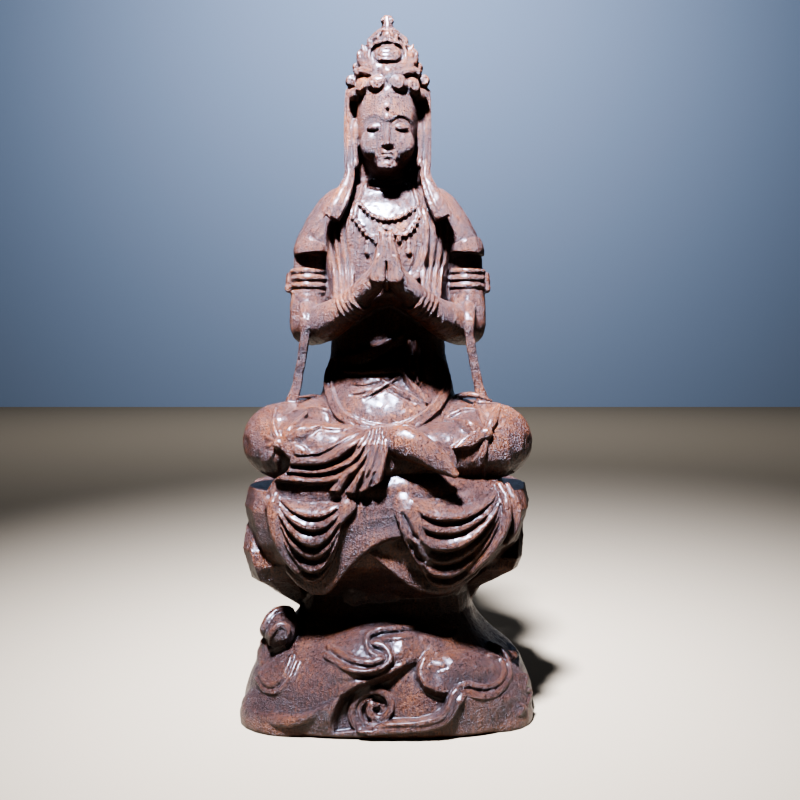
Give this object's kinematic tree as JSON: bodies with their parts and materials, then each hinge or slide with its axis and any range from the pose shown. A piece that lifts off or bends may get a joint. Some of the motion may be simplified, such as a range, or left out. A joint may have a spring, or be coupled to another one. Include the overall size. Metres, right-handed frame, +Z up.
{
  "type": "carved guanyin figure",
  "caption": "Carved wooden guanyin seated cross-legged with joined palms, wearing a tall scrolled crown, long veil and scarf, on a draped rock seat over cloud scrolls.",
  "frame": {"origin": "middle of the plinth's flat underside", "axes": "+Z up, the figure faces -Y, +X to the viewer's right as seen from the front"},
  "size_m": [0.126, 0.1004, 0.298],
  "materials": {
    "carved_wood": "dark red-brown, rubbed and waxed to a soft sheen"
  },
  "bodies": {
    "root": {"guanyin_figure": "carved_wood"}
  },
  "joints": []
}
